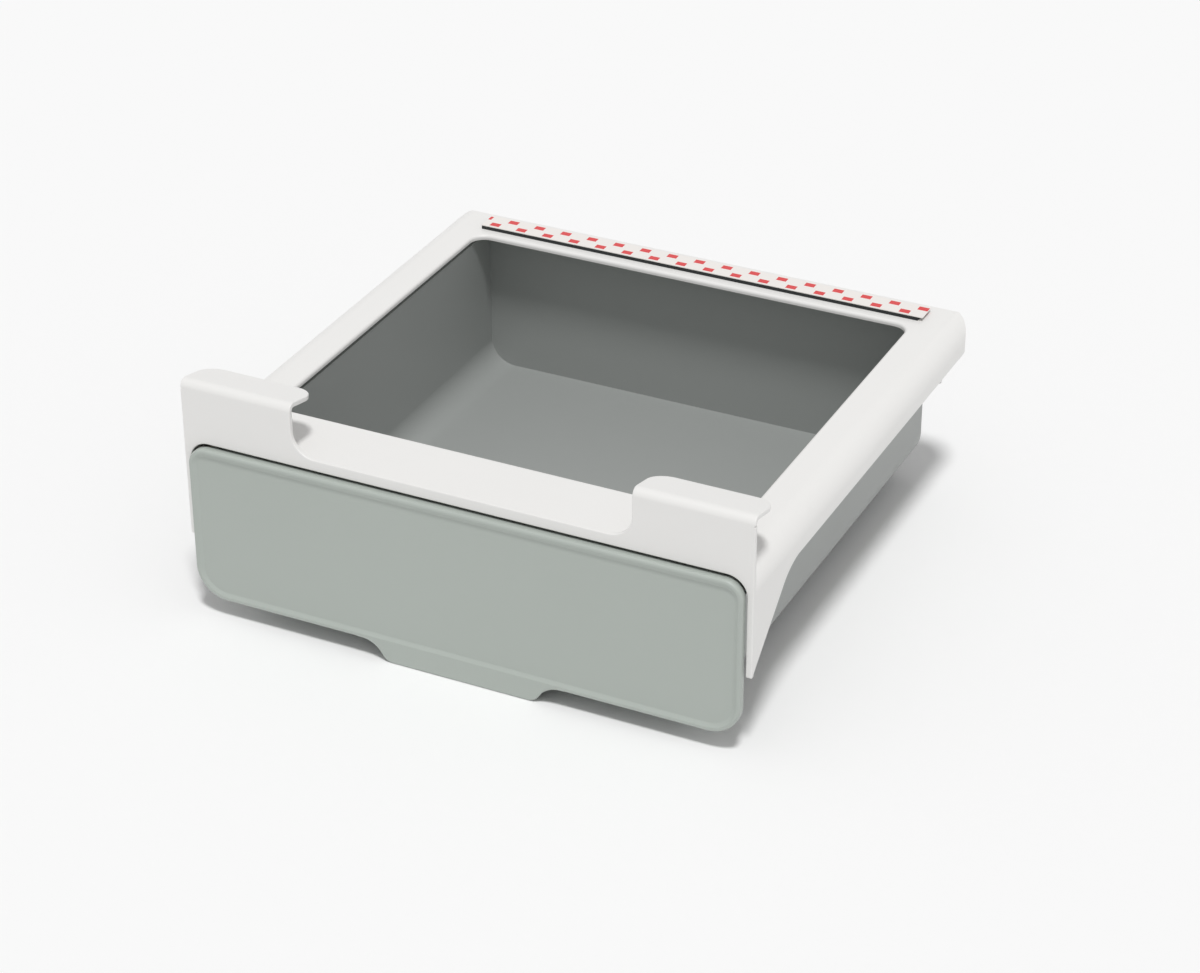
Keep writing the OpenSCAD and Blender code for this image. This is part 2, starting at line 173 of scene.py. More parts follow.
def block(name, low, high):
    low, high = Vector(low) * MM, Vector(high) * MM
    bpy.ops.object.select_all(action="DESELECT")
    bpy.ops.mesh.primitive_cube_add(size=1.0, location=(low + high) / 2)
    bpy.context.object.scale = high - low
    return settle(name)

# %% [markdown]
# In edit mode, a hand would click on edges and faces. Code picks them by where they lie or which
# way they face instead, and then calls the same operators. Places are in millimetres.

# %% Pick its parts
X, Y, Z = range(3)
select_modes = {"verts": "VERT", "edges": "EDGE", "faces": "FACE"}
close_enough = 0.05

def pick(piece, kind, test):
    bpy.ops.object.select_all(action="DESELECT")
    piece.select_set(True)
    bpy.context.view_layer.objects.active = piece
    bpy.ops.object.mode_set(mode="EDIT")
    bpy.ops.mesh.select_mode(type=select_modes[kind])
    bpy.ops.mesh.select_all(action="DESELECT")
    mesh = bmesh.from_edit_mesh(piece.data)
    picked = [element for element in getattr(mesh, kind) if test(element)]
    for element in picked:
        element.select_set(True)
    bmesh.update_edit_mesh(piece.data)
    return len(picked)

def done():
    bpy.ops.object.mode_set(mode="OBJECT")

def everything(element):
    return True

def middle(element):
    return sum((vert.co for vert in element.verts), Vector()) / len(element.verts) / MM

def near(value, goal):
    return abs(value - goal) < close_enough

# %% [markdown]
# Three questions come up again and again: does an edge run along an axis, does it also lie at some
# place, and does a face look straight along an axis, one way or the other?

# %% Questions about edges and faces
straight, square_on = 0.999, 0.99

def along(edge, axis):
    span = edge.verts[0].co - edge.verts[1].co
    return abs(span[axis]) > straight * span.length

def lies(edge, axis, **place):
    spot = middle(edge)
    return along(edge, axis) and all(near(getattr(spot, name), at) for name, at in place.items())

def faces_along(face, axis, way):
    return way * face.normal[axis] > square_on

# %% [markdown]
# Three operators do most of the shaping: a bevel rounds the edges that a test picks, a bisect cuts
# right across a piece, and an extrude pulls the picked faces out.

# %% Round, cut across and pull out
def round_edges(piece, test, radius, steps):
    count = pick(piece, "edges", test)
    bpy.ops.mesh.bevel(offset=radius * MM, offset_type="OFFSET", segments=steps, profile=0.5,
                       affect="EDGES", clamp_overlap=False)
    done()
    return count

def cut_across(piece, axis, at):
    place, normal = [0.0, 0.0, 0.0], [0.0, 0.0, 0.0]
    place[axis], normal[axis] = at * MM, 1.0
    pick(piece, "faces", everything)
    bpy.ops.mesh.bisect(plane_co=place, plane_no=normal)
    done()

def extrude(x, y, z):
    bpy.ops.mesh.extrude_region_move(TRANSFORM_OT_translate={"value": (x * MM, y * MM, z * MM)})

# %% [markdown]
# The front panel
#
# The real panel is one moulding: a shallow lid with round corners, a raised bead along its edge and
# a finger pull below. The two upper corners are rounded less than the lower ones. It could be drawn
# as an outline and given a thickness, but a bead is easier from a block: its front face is inset
# again and again, a little deeper each time, so that every ring of the bead runs parallel to the
# edge.

# %% The panel's block and its round corners
panel_low, panel_high = [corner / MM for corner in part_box("front_panel")]
pull_drop = 8.0
panel_bottom = panel_low.z + pull_drop
panel_corner, panel_top_corner, panel_corner_steps = 13.0, 7.5, 16

panel = block("panel", (panel_low.x, panel_low.y, panel_bottom), panel_high)
for level, radius in ((panel_bottom, panel_corner), (panel_high.z, panel_top_corner)):
    round_edges(panel, lambda edge: lies(edge, Y, z=level), radius, panel_corner_steps)
print("panel block:", len(panel.data.polygons), "faces")

# %% [markdown]
# The bead has three parts: a small rounding outside, a flat crest half a millimetre wide, and a
# hollow slope down to the face. The slope is drawn by five insets, each as deep as the curve says.

# %% The raised bead
bead_height, bead_crest, bead_slope, bead_hollow = 1.0, 0.5, 2.1, 0.35
bead_round_steps, bead_slope_steps = 5, 5

def front_outline(edge):
    return all(near(vert.co.y / MM, panel_low.y) for vert in edge.verts)

def bead_level(share):
    return bead_height * (1 - share) * (1 - bead_hollow * share)

round_edges(panel, front_outline, bead_height, bead_round_steps)
pick(panel, "faces", lambda face: faces_along(face, Y, -1) and near(middle(face).y, panel_low.y))
bpy.ops.mesh.inset(thickness=bead_crest * MM, depth=0.0)
for step in range(bead_slope_steps):
    fall = bead_level(step / bead_slope_steps) - bead_level((step + 1) / bead_slope_steps)
    bpy.ops.mesh.inset(thickness=bead_slope / bead_slope_steps * MM, depth=-fall * MM)
done()
print("bead:", bead_slope_steps, "rings,", bead_height, "mm high")

# %% [markdown]
# The panel's rim is straight only as far back as the frame's front plate. Behind that it leans in,
# as a mould needs it to, so that little of the side shows from the front. The back is hollow like a
# lid: its face is inset by the wall and pushed in.

# %% The leaning rim and the hollow back
plate_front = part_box("frame")[0].y
rim_lean, panel_wall = 2.2, 2.2
panel_half, panel_half_height = panel_high.x, (panel_high.z - panel_bottom) / 2
panel_middle = panel_bottom + panel_half_height
hollow_depth = panel_high.y - panel_low.y - bead_height - panel_wall

def panel_back(face):
    return faces_along(face, Y, 1) and near(middle(face).y, panel_high.y)

cut_across(panel, Y, plate_front / MM)
pick(panel, "faces", panel_back)
bpy.ops.transform.resize(value=(1 - rim_lean / panel_half, 1.0, 1 - rim_lean / panel_half_height),
                         center_override=(0.0, panel_high.y * MM, panel_middle * MM))
done()
pick(panel, "faces", panel_back)
bpy.ops.mesh.inset(thickness=panel_wall * MM, depth=0.0)
extrude(0.0, -hollow_depth, 0.0)
done()
print("panel: hollow", round(hollow_depth, 2), "mm deep")

# %% [markdown]
# The finger pull
#
# The pull is a tongue whose front is flush with the bead's crest. Its ends flow into the panel's
# lower edge in an S: a gentle curve above and a tighter one below. The tongue starts as a strip,
# its middle is pulled down and narrowed from knee to toe, and the four corners are rounded. After
# each step, a report measures the piece and counts the edges where its surface isn't closed.

# %% Report on a piece
def report(piece):
    mesh = bmesh.new()
    mesh.from_mesh(piece.data)
    open_edges = sum(1 for edge in mesh.edges if not edge.is_manifold)
    volume = mesh.calc_volume() / MM ** 3 / 1000
    points = [vert.co / MM for vert in mesh.verts]
    low = [round(min(point[axis] for point in points), 2) for axis in (X, Y, Z)]
    high = [round(max(point[axis] for point in points), 2) for axis in (X, Y, Z)]
    mesh.free()
    print(f"{piece.name}: {len(piece.data.polygons)} faces, {open_edges} open edges, "
          f"{volume:.1f} cm3, {low} to {high} mm")

# %% The finger pull
pull_thickness, toe, knee = 3.0, 31.3, 36.6
upper_curve, upper_steps, lower_curve, lower_steps = 5.0, 10, 2.6, 8
strip_half, crest_z = 44.0, panel_bottom + bead_height + bead_crest / 2

pull = block("pull", (-strip_half, panel_low.y, panel_bottom),
             (strip_half, panel_low.y + pull_thickness, crest_z))
for knee_x in (-knee, knee):
    cut_across(pull, X, knee_x)
pick(pull, "faces", lambda face: faces_along(face, Z, -1) and near(middle(face).x, 0.0))
extrude(0.0, 0.0, -pull_drop)
bpy.ops.transform.resize(value=(toe / knee, 1.0, 1.0), center_override=(0.0, 0.0, 0.0))
done()
round_edges(pull, lambda edge: lies(edge, Y, z=panel_bottom) and near(abs(middle(edge).x), knee),
            upper_curve, upper_steps)
round_edges(pull, lambda edge: lies(edge, Y, z=panel_low.z), lower_curve, lower_steps)
report(pull)

# %% [markdown]
# A boolean joins two pieces, takes one away from the other, or keeps what they share. It leaves
# points that all but coincide and cuts across flat faces, so these are merged and dissolved, and
# the outward side of every face is worked out again.

# %% Combine two pieces, and clean up
merge_distance, flat_angle = 0.004, 0.4

def combine(piece, other, operation):
    bpy.ops.object.select_all(action="DESELECT")
    bpy.context.view_layer.objects.active = piece
    boolean = piece.modifiers.new("join", "BOOLEAN")
    boolean.operation = operation
    boolean.solver = "EXACT"
    boolean.object = other
    bpy.ops.object.modifier_apply(modifier=boolean.name)
    bpy.data.objects.remove(other)
    return piece

def clean(piece):
    pick(piece, "verts", everything)
    bpy.ops.mesh.remove_doubles(threshold=merge_distance * MM)
    bpy.ops.mesh.select_all(action="SELECT")
    bpy.ops.mesh.dissolve_limited(angle_limit=math.radians(flat_angle), delimit={"NORMAL"})
    bpy.ops.mesh.select_all(action="SELECT")
    bpy.ops.mesh.normals_make_consistent(inside=False)
    done()

# %% [markdown]
# A finished piece is shaded smooth where its faces meet at a small angle, and the large flat faces
# have the most say in how the light falls on the small ones beside them. Then the piece is told
# which body it rides on and which measured node it stands for.

# %% Finish a piece
smooth_below = 32

def finish_piece(piece, body, slot, *nodes):
    bpy.ops.object.select_all(action="DESELECT")
    piece.select_set(True)
    bpy.context.view_layer.objects.active = piece
    bpy.ops.object.shade_smooth_by_angle(angle=math.radians(smooth_below))
    weighted = piece.modifiers.new("even shading", "WEIGHTED_NORMAL")
    weighted.keep_sharp = True
    bpy.ops.object.modifier_apply(modifier=weighted.name)
    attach(piece, body)
    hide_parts(*nodes)
    report(piece)

# %% [markdown]
# The pull and the panel are joined, and the pull's front edge is rounded off. A finger meets it,
# and in the photograph it carries a thin bright line.

# %% Join the pull to the panel
pull_edge_radius, pull_edge_steps, side_on, skin = 0.7, 4, 0.2, 0.1
combine(panel, pull, "UNION")
clean(panel)

def pull_edge(edge):
    on_front = any(faces_along(face, Y, -1) for face in edge.link_faces)
    on_rim = any(abs(face.normal.y) < side_on for face in edge.link_faces)
    return on_front and on_rim and front_outline(edge) and middle(edge).z < panel_bottom + skin

print("pull edges rounded:", round_edges(panel, pull_edge, pull_edge_radius, pull_edge_steps))
finish_piece(panel, "drawer", "sage_abs", "front_panel")

# %% [markdown]
# The frame
#
# The real frame is one white moulding with walls 2 mm thick: a rectangular ring with rounded rails,
# a front plate with two hooks over the shelf's edge, and a wing behind each leg. A ring could be
# swept along a path, but its sides, rear and corners have three different radii. So the ring is cut
# out of three overlapping blocks, each rounded along other edges, as a joiner rounds a box lid.
# A block that cuts reaches 5 mm past what it cuts.

# %% The ring's shape, outside and inside
frame_low, frame_high = [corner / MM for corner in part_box("frame")]
half_width, front_y, rear_y = frame_high.x, frame_low.y, frame_high.y
wall, ring_top, skirt_bottom = 2.0, 77.4, 62.9
rail_radius, rear_radius, corner_radius = 9.5, 2.5, 10.0
rail_steps, rear_steps, corner_steps = 12, 5, 10
past = 5

def lid(inset, start_y, bottom):
    side, back, top = half_width - inset, rear_y - inset, ring_top - inset
    shape = block("ring", (-side, start_y, bottom), (side, back, top))
    round_edges(shape, lambda edge: lies(edge, Y, z=top), rail_radius - inset, rail_steps)
    corners = block("corners", (-side, start_y - past, bottom - past), (side, back, top + past))
    round_edges(corners, lambda edge: lies(edge, Z, y=back), corner_radius - inset, corner_steps)
    combine(shape, corners, "INTERSECT")
    rear = block("rear", (-side - past, start_y - past, bottom - past), (side + past, back, top))
    round_edges(rear, lambda edge: lies(edge, X, y=back, z=top), rear_radius - inset, rear_steps)
    return combine(shape, rear, "INTERSECT")

ring = lid(0.0, front_y, skirt_bottom)
combine(ring, lid(wall, front_y + wall, skirt_bottom - wall), "DIFFERENCE")
report(ring)

# %% [markdown]
# The top opening is a block with four round corners, taken away from the ring.

# %% The top opening
opening_half, opening_front, opening_back, opening_corner = 98.0, -77.0, 91.3, 6.5

opening = block("opening", (-opening_half, opening_front, skirt_bottom - past),
                (opening_half, opening_back, ring_top + past))
round_edges(opening, lambda edge: along(edge, Z), opening_corner, corner_steps)
combine(ring, opening, "DIFFERENCE")
report(ring)

# %% [markdown]
# The front plate and its hooks
#
# The plate starts as a thin block. Two cuts mark the hooks, whose tops are pulled up, and the inner
# corners that this leaves are rounded into fillets.

# %% The plate and the uprights
leg_bottom, plate_top = frame_low.z, 79.2
hook_inner, bend_z = 70.0, 97.0
upright_fillet, fillet_steps = 9.5, 12

plate = block("plate", (-half_width, front_y, leg_bottom), (half_width, front_y + wall, plate_top))
for hook_edge in (-hook_inner, hook_inner):
    cut_across(plate, X, hook_edge)

def hook_top(face, side):
    return faces_along(face, Z, 1) and middle(face).x * side > hook_inner

for side in (-1, 1):
    pick(plate, "faces", lambda face: hook_top(face, side))
    extrude(0.0, 0.0, bend_z - plate_top)
    done()
round_edges(plate, lambda edge: lies(edge, Y, z=plate_top)
            and near(abs(middle(edge).x), hook_inner), upright_fillet, fillet_steps)
print("plate:", len(plate.data.polygons), "faces")

# %% [markdown]
# Each hook is then turned over the shelf's edge by a spin, the operator for anything that is bent
# about an axis, and run out along its slope.

# %% The hooks
hook_radius, hook_reach, hook_slope, bend_steps = 3.0, 20.0, math.radians(12.4), 8
flange_run = hook_reach - hook_radius * (1 + math.sin(hook_slope))

for side in (-1, 1):
    pick(plate, "faces", lambda face: hook_top(face, side) and near(middle(face).z, bend_z))
    bpy.ops.mesh.spin(steps=bend_steps, angle=math.pi / 2 + hook_slope, axis=(1.0, 0.0, 0.0),
                      center=(0.0, (front_y + hook_radius) * MM, bend_z * MM))
    extrude(0.0, flange_run, -flange_run * math.tan(hook_slope))
    done()
report(plate)

# %% [markdown]
# A spin can turn faces inside out, so the outward side is worked out again. The hooks' rear corners
# are then rounded. The flange slopes, so its end leans a little, by less than 0.6 mm.

# %% Round the hooks' corners
hook_corner, hook_corner_steps, end_lean = 8.0, 10, 0.6
hook_end = front_y + hook_reach
clean(plate)

def hook_corner_edge(edge):
    first, second = [vert.co / MM for vert in edge.verts]
    return abs(first.x - second.x) < 0.001 and min(first.y, second.y) > hook_end - end_lean

round_edges(plate, hook_corner_edge, hook_corner, hook_corner_steps)
report(plate)

# %% [markdown]
# The wings
#
# A wing is the gusset behind each leg of the plate. A strip is cut across where the slope meets the
# skirt, its front part is pulled down to the leg's end, and the lower rear edge is slid forward.
# That makes the slope, and one wide rounding blends it into the skirt.

# %% The wings
wing_thickness, wing_run, wing_blend, wing_steps, leg_toe = 2.5, 34.4, 20.0, 10, 0.8
skirt_overlap, run_out = 4, 2
slope_end = front_y + wing_run
wing_slope = math.atan((skirt_bottom - leg_bottom) / (wing_run - leg_toe))
blend_run = wing_blend * math.tan(wing_slope / 2)

def from_left(side, inner, outer):
    return sorted((side * inner, side * outer))

def wing(side):
    left, right = from_left(side, half_width - wing_thickness, half_width)
    strip = block("wing", (left, front_y, skirt_bottom),
                  (right, slope_end + blend_run + run_out, skirt_bottom + skirt_overlap))
    cut_across(strip, Y, slope_end)
    pick(strip, "faces", lambda face: faces_along(face, Z, -1) and middle(face).y < slope_end)
    extrude(0.0, 0.0, leg_bottom - skirt_bottom)
    done()
    pick(strip, "edges", lambda edge: lies(edge, X, y=slope_end, z=leg_bottom))
    bpy.ops.transform.translate(value=(0.0, (leg_toe - wing_run) * MM, 0.0))
    done()
    round_edges(strip, lambda edge: lies(edge, X, y=slope_end, z=skirt_bottom), blend_run,
                wing_steps)
    report(strip)
    return strip

wings = [wing(side) for side in (-1, 1)]

# %% [markdown]
# Ribs inside the frame
#
# Under the ring, a long rib on each side keeps the tray's flange down, four short ribs stop the
# tray at the back, and three bosses a side take the runners' screws. Nobody sees them from above,
# but they show from below. Each reaches a little way into the wall that it grows from.

# %% The ribs and bosses
ceiling = ring_top - wall
into_ceiling = ceiling + 0.4
slide_x = 103.4
rib_half, rib_start, rib_end, rib_bottom = 0.75, front_y + wall - 0.2, 105.5, 73.9
boss_x, boss_rows = 111.95, (-78.42, 1.0, 80.42)
boss_radius, boss_bottom, boss_sides = 2.65, 66.6, 24
stop_shares = (-0.75, -0.25, 0.25, 0.75)
stop_half, stop_start, stop_end = 0.8, 105.8, rear_y - wall + 0.4

def rod(name, place, radius, length, sides, turn=0.0):
    bpy.ops.object.select_all(action="DESELECT")
    bpy.ops.mesh.primitive_cylinder_add(vertices=sides, radius=radius * MM, depth=length * MM,
                                        location=Vector(place) * MM, rotation=(turn, 0.0, 0.0))
    return settle(name)

rib_set = []
for side in (-1, 1):
    centre = side * slide_x
    rib_set.append(block("hold-down rib", (centre - rib_half, rib_start, rib_bottom),
                         (centre + rib_half, rib_end, into_ceiling)))
    for row in boss_rows:
        rib_set.append(rod("boss", (side * boss_x, row, (boss_bottom + into_ceiling) / 2),
                           boss_radius, into_ceiling - boss_bottom, boss_sides))
for share in stop_shares:
    centre = share * opening_half
    rib_set.append(block("stop rib", (centre - stop_half, stop_start, skirt_bottom),
                         (centre + stop_half, stop_end, into_ceiling)))
print("ribs and bosses:", len(rib_set))

# %% [markdown]
# The ribs and bosses are trimmed to the ring's shape, a little smaller, so that none comes through.
# A boolean uses up its second piece, so each of them gets its own copy of that shape. Last comes a
# small nub under each side, near the rear.

# %% Trim the ribs, and add the nubs
nub_start, nub_end, nub_drop, nub_overlap = 77.4, 79.0, 1, 0.2

trim = lid(wall / 2, front_y + wall / 2, skirt_bottom - past)
for rib in rib_set:
    keep = trim.copy()
    keep.data = trim.data.copy()
    bpy.context.collection.objects.link(keep)
    combine(rib, keep, "INTERSECT")
bpy.data.objects.remove(trim)
for side in (-1, 1):
    left, right = from_left(side, half_width - wall, half_width)
    rib_set.append(block("nub", (left, nub_start, skirt_bottom - nub_drop),
                         (right, nub_end, skirt_bottom + nub_overlap)))
print("ribs, bosses and nubs:", len(rib_set))

# %% [markdown]
# One moulding
#
# All the shapes are joined into one. Shapes that end in the same plane leave hair-thin steps where
# they meet, so a cut a thousandth of a millimetre further in makes each side one flat face. Then
# the arch that the drawer passes through is cut from the front. The radius of its corners is half
# a millimetre more than that of the panel's upper ones.

# %% Join the frame
side_x = half_width - 0.001
arch_half, arch_top, arch_depth, arch_steps = 115.0, 74.6, 3, 12
arch_corner = panel_top_corner + 0.5

shell = ring
shell.name = shell.data.name = "frame_moulding"
for part in [plate] + wings + rib_set:
    combine(shell, part, "UNION")
combine(shell, block("sides", (-side_x, front_y - past, leg_bottom - past),
                     (side_x, rear_y + past, frame_high.z + past)), "INTERSECT")
arch = block("arch", (-arch_half, front_y - arch_depth, leg_bottom - past),
             (arch_half, front_y + arch_depth, arch_top))
round_edges(arch, lambda edge: lies(edge, Y, z=arch_top), arch_corner, arch_steps)
combine(shell, arch, "DIFFERENCE")
clean(shell)
report(shell)

# %% [markdown]
# A face that runs right round an opening can't be filled well, so the ring is cut across in front
# and back, and on both sides, before its edges are rounded. The cut on the sides misses the bosses.

# %% Cut the ring's long faces across
clear_of_bosses = 20.0
cut_across(shell, X, 0.0)
cut_across(shell, Y, clear_of_bosses)
report(shell)

# %% [markdown]
# A mould can't make a knife edge, and a sharp edge looks wrong in a render because it has no
# highlight. The rim of the top opening is rounded most, because hands and packets slide over it.
# Every other outer edge gets a small rounding. The tests take edges that stick out, turn by more
# than 35 degrees and lie on the rim or on the outside.

# %% Soften the frame's edges
rim_radius, rim_steps, edge_radius, edge_steps = 1.3, 4, 0.45, 3

def sticks_out(edge, degrees=35):
    return len(edge.link_faces) == 2 and edge.calc_face_angle_signed(0.0) > math.radians(degrees)

def opening_rim(edge):
    spot = middle(edge)
    across = abs(spot.x) < opening_half + close_enough
    lengthwise = opening_front - close_enough < spot.y < opening_back + close_enough
    on_top = all(near(vert.co.z / MM, ring_top) for vert in edge.verts)
    return sticks_out(edge) and across and lengthwise and on_top

def outside(edge):
    spot = middle(edge)
    on_plate = spot.y < front_y + wall + skin
    on_side = abs(spot.x) > half_width - skin
    on_back = spot.y > rear_y - skin
    on_top = spot.z > ring_top - skin
    return sticks_out(edge) and (on_plate or on_side or on_back or on_top)

print("rim edges rounded:", round_edges(shell, opening_rim, rim_radius, rim_steps))
print("edges softened:", round_edges(shell, outside, edge_radius, edge_steps))

# %% [markdown]
# Where each hook bends, its outer edge has a small round notch. It keeps the plastic from tearing
# there when the hook is pushed over a shelf, and it reads as a tiny dark dot.

# %% The notches at the bends
notch_radius, notch_length, notch_sides = 0.5, 4, 24
lying = math.pi / 2

for edge_x in (-half_width, half_width):
    notch_place = (edge_x, front_y + wall / 2, bend_z - notch_radius)
    notch = rod("notch", notch_place, notch_radius, notch_length, notch_sides, lying)
    combine(shell, notch, "DIFFERENCE")
finish_piece(shell, "frame", "white_abs", "frame")

# %% [markdown]
# The tray
#
# The tray is a deep trough with round bottom edges along its sides and upright ends. A block with
# two rounded edges gives the outside, and a smaller one is taken out of it.

# %% The trough
tray_low, tray_high = [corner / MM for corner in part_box("tray")]
tray_half, tray_wall, tray_round, trough_steps = 100.4, 2.0, 13.0, 12

def trough(name, low, high, radius):
    shape = block(name, low, high)
    round_edges(shape, lambda edge: lies(edge, Y, z=low[Z]), radius, trough_steps)
    return shape

tray = trough("tray_moulding", (-tray_half, tray_low.y, tray_low.z),
              (tray_half, tray_high.y, tray_high.z), tray_round)
room_half = tray_half - tray_wall
room = trough("room", (-room_half, tray_low.y + tray_wall, tray_low.z + tray_wall),
              (room_half, tray_high.y - tray_wall, tray_high.z + past), tray_round - tray_wall)
combine(tray, room, "DIFFERENCE")
report(tray)

# %% [markdown]
# A flange runs along each side and slides on the runner. Under it, near the rear, a small lug runs
# in a groove in the runner and stops the drawer at the end of its travel.

# %% The flanges and their stop lugs
flange_thickness, flange_overlap, flange_setback = 2.0, 0.2, 1
flange_bottom = tray_high.z - flange_thickness
lug_half, lug_start, lug_end, lug_bottom, lug_top = 0.9, 99.5, 103.5, 69.8, 71.8

for side in (-1, 1):
    left, right = from_left(side, tray_half - flange_overlap, tray_high.x)
    flange = block("flange", (left, tray_low.y + flange_setback, flange_bottom),
                   (right, tray_high.y, tray_high.z))
    combine(tray, flange, "UNION")
    centre = side * slide_x
    lug = block("lug", (centre - lug_half, lug_start, lug_bottom),
                (centre + lug_half, lug_end, lug_top))
    combine(tray, lug, "UNION")
report(tray)

# %% [markdown]
# Four countersunk holes in the front wall take the screws that hold the panel. Each is a cylinder
# with a cone at its inner end, taken away from the wall. The cone stands a hundredth of a
# millimetre proud of the wall, so that it cuts cleanly. The measured screws say where the holes go.

# %% The screw holes
screw_low, screw_high = [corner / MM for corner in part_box("panel_screws")]
head_radius, hole_radius, sink_radius, sink_depth = 2.6, 1.4, 2.8, 1.4
hole_length, hole_sides, proud = 6, 32, 0.01
hole_y = tray_low.y + tray_wall / 2
sink_y = tray_low.y + tray_wall - sink_depth / 2 + proud

def hole_cutter(x, z):
    hole = rod("hole", (x, hole_y, z), hole_radius, hole_length, hole_sides, lying)
    bpy.ops.object.select_all(action="DESELECT")
    bpy.ops.mesh.primitive_cone_add(vertices=hole_sides, radius1=sink_radius * MM,
                                    radius2=hole_radius * MM, depth=sink_depth * MM,
                                    location=Vector((x, sink_y, z)) * MM,
                                    rotation=(lying, 0.0, 0.0))
    return combine(hole, settle("sink"), "UNION")

for x in (screw_low.x + head_radius, screw_high.x - head_radius):
    for z in (screw_low.z + head_radius, screw_high.z - head_radius):
        combine(tray, hole_cutter(x, z), "DIFFERENCE")
clean(tray)
report(tray)

# %% [markdown]
# The tray's outer edges are softened like the frame's. The holes and the lugs keep their edges, and
# so does the inner edge of the rim, which carries no bright line in the photograph.

# %% Soften the tray's edges
tray_edge_radius, tray_edge_steps, tray_edge_angle = 0.4, 3, 60
hole_x = screw_high.x - head_radius
mid_wall = tray_wall / 2

def rim_or_end(edge):
    spot = middle(edge)
    in_front_wall = spot.y < tray_low.y + tray_wall + skin
    on_hole = in_front_wall and abs(abs(spot.x) - hole_x) < sink_radius + skin
    across = abs(spot.x) < tray_half - mid_wall
    lengthwise = tray_low.y + mid_wall < spot.y < tray_high.y - mid_wall
    on_inner_rim = near(spot.z, tray_high.z) and across and lengthwise
    on_lug = abs(abs(spot.x) - slide_x) < lug_half + skin and spot.z < flange_bottom - skin
    return sticks_out(edge, tray_edge_angle) and not (on_hole or on_inner_rim or on_lug)

print("tray edges softened:", round_edges(tray, rim_or_end, tray_edge_radius, tray_edge_steps))
finish_piece(tray, "drawer", "grey_green_abs", "tray")

# %% [markdown]
# The tape
#
# A strip of black foam tape on the rear bar carries a pale release liner, a little longer than the
# foam, so that a thumbnail can lift it. Both are thin blocks. The foam's edges are rounded, apart
# from those that lie on the bar, and the liner's four corners are.

# %% The foam and the liner
foam_low, foam_high = [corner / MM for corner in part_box("adhesive_foam")]
foam_edge, foam_steps, liner_corner, liner_steps = 0.25, 3, 0.5, 4

foam = block("foam_tape", foam_low, foam_high)
round_edges(foam, lambda edge: not near(middle(edge).z, foam_low.z), foam_edge, foam_steps)
finish_piece(foam, "frame", "black_foam", "adhesive_foam")

liner_low, liner_high = [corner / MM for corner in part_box("release_liner")]
liner = block("liner_strip", liner_low, liner_high)
round_edges(liner, lambda edge: along(edge, Z), liner_corner, liner_steps)
finish_piece(liner, "frame", "liner_paper", "release_liner")

# %% [markdown]
# Colours and materials
#
# Colours are written as the hex values that a colour picker shows, and one function turns them into
# the linear values that the renderer works with. Its numbers are those of the sRGB standard. The
# size of a pattern is written in millimetres, and a texture's scale is how many of them go into a
# metre.

# %% Helpers for materials
def linear(code):
    shares = [int(code[place:place + 2], 16) / 255 for place in (0, 2, 4)]
    return tuple(share / 12.92 if share <= 0.04045 else ((share + 0.055) / 1.055) ** 2.4
                 for share in shares) + (1.0,)

def new_material(name, piece_names):
    material = bpy.data.materials.new(name)
    material.use_nodes = True
    material.node_tree.nodes.clear()
    for piece_name in piece_names:
        slots = bpy.data.objects[piece_name].data.materials
        slots.clear()
        slots.append(material)
    print("material:", name, "on", ", ".join(piece_names))
    return material.node_tree

def per_mm(size):
    return 1.0 / (size * MM)

# %% [markdown]
# Moulded ABS
#
# The frame, the panel and the tray are injection-moulded ABS. The mould is spark-eroded to a fine
# grain of about 0.2 mm, which gives the eye a soft satin sheen without a mirror image. That grain
# is finer than a pixel of the render, so it is drawn at 0.8 mm and very shallow. Broad, faint
# clouds in colour and gloss, some centimetres wide, stand for the way plastic cools unevenly in the
# mould. The Mix node has an input A for each kind of value, so its colours go in by number.

# %% Moulded ABS in three colours
cloud_width, grain_width, grain_depth, gloss_spread = 60, 0.8, 0.02, 0.05
mix_colour_a, mix_colour_b, mixed_colour = 6, 7, 2

def moulded_abs(name, colour, cloud_colour, roughness, piece_names):
    tree = new_material(name, piece_names)
    place = add(tree, "ShaderNodeTexCoord", {})
    clouds = add(tree, "ShaderNodeTexNoise",
                 {"Scale": per_mm(cloud_width), "Detail": 3.0, "Roughness": 0.5},
                 [("Vector", place.outputs["Object"])])
    tint = add(tree, "ShaderNodeMix",
               {"data_type": "RGBA", mix_colour_a: linear(colour),
                mix_colour_b: linear(cloud_colour)},
               [("Factor", clouds.outputs["Fac"])])
    gloss = add(tree, "ShaderNodeMapRange",
                {"To Min": roughness - gloss_spread, "To Max": roughness + gloss_spread},
                [("Value", clouds.outputs["Fac"])])
    grain = add(tree, "ShaderNodeTexNoise",
                {"Scale": per_mm(grain_width), "Detail": 2.0, "Roughness": 0.6},
                [("Vector", place.outputs["Object"])])
    bump = add(tree, "ShaderNodeBump", {"Strength": 0.25, "Distance": grain_depth * MM},
               [("Height", grain.outputs["Fac"])])
    shader = add(tree, "ShaderNodeBsdfPrincipled", {"IOR": 1.53},
                 [("Base Color", tint.outputs[mixed_colour]),
                  ("Roughness", gloss.outputs["Result"]), ("Normal", bump.outputs["Normal"])])
    add(tree, "ShaderNodeOutputMaterial", {}, [("Surface", shader.outputs["BSDF"])])

moulded_abs("satin white ABS", "EDECEA", "EAE9E7", 0.42, ["frame_moulding"])
moulded_abs("sage ABS", "B0B7B1", "ADB4AE", 0.45, ["panel"])
moulded_abs("grey-green ABS", "9FA2A0", "9C9F9D", 0.40, ["tray_moulding"])

# %% [markdown]
# Acetal
#
# The runners are natural acetal, a slippery plastic that needs no oil. It is a milky off-white with
# a waxy gloss, because light enters it a little, about a millimetre deep. Faint flow marks from the
# mould are some centimetres long.

# %% Natural acetal
flow_width = 25

